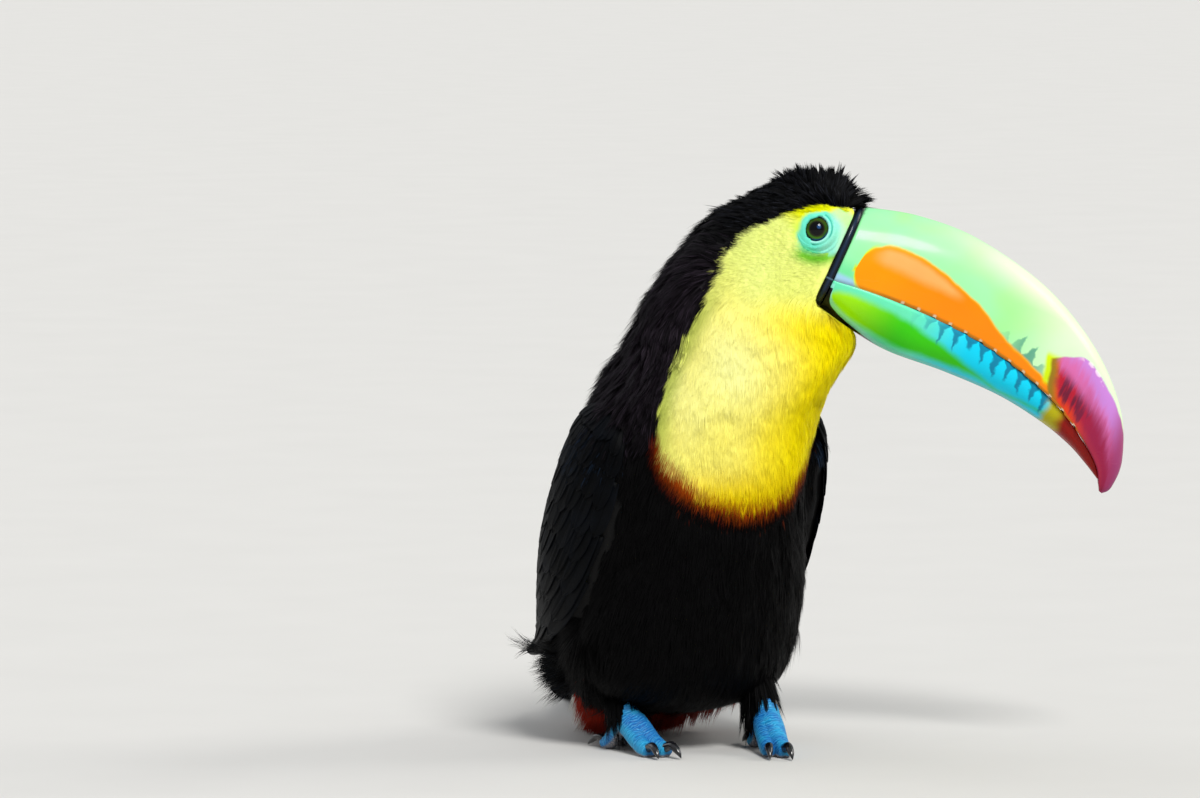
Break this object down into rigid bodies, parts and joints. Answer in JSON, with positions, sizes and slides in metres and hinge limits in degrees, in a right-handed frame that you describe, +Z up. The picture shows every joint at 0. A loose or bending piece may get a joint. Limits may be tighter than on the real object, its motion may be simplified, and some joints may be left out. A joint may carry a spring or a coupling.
{
  "type": "toucan",
  "caption": "Life-size model of a keel-billed toucan standing on the floor with its head turned to its left, its huge many-coloured bill lowered and its tail laid behind it.",
  "frame": {"origin": "middle of the bird's box, on the floor that its feet and tail rest on", "axes": "+Z up, the trunk faces -Y, the bird's own left is +X; the bill points 60 degrees to the left of the trunk, towards +X and -Y; the tail runs back towards +Y and to +X"},
  "size_m": [0.2002, 0.3058, 0.238],
  "materials": {
    "black_plumage": "soft black feathers with a faint blue gloss",
    "yellow_plumage": "soft silky yellow feathers",
    "red_plumage": "soft red feathers, white above",
    "bill_horn": "glossy horn, green with an orange patch, a blue lower half and a dark red tip",
    "band_horn": "satin black",
    "bare_skin": "bare wrinkled turquoise skin",
    "eye": "wet and glossy, dark olive iris",
    "foot_skin": "bright blue scaled skin",
    "claw_horn": "glossy black horn"
  },
  "bodies": {
    "root": {"head": "black_plumage", "neck": "yellow_plumage", "trunk": "black_plumage", "rump": "red_plumage", "tail": "black_plumage", "bill_upper": "bill_horn", "bill_lower": "bill_horn", "bill_band": "band_horn", "eye_right": "eye", "eyelid_right": "bare_skin", "eye_left": "eye", "eyelid_left": "bare_skin", "wing_coverts_right": "black_plumage", "wing_flight_right": "black_plumage", "wing_coverts_left": "black_plumage", "wing_flight_left": "black_plumage", "thigh_right": "black_plumage", "foot_right": "foot_skin", "claw_inner_right": "claw_horn", "claw_outer_right": "claw_horn", "claw_back_inner_right": "claw_horn", "claw_back_outer_right": "claw_horn", "thigh_left": "black_plumage", "foot_left": "foot_skin", "claw_inner_left": "claw_horn", "claw_outer_left": "claw_horn", "claw_back_inner_left": "claw_horn", "claw_back_outer_left": "claw_horn"}
  },
  "joints": []
}
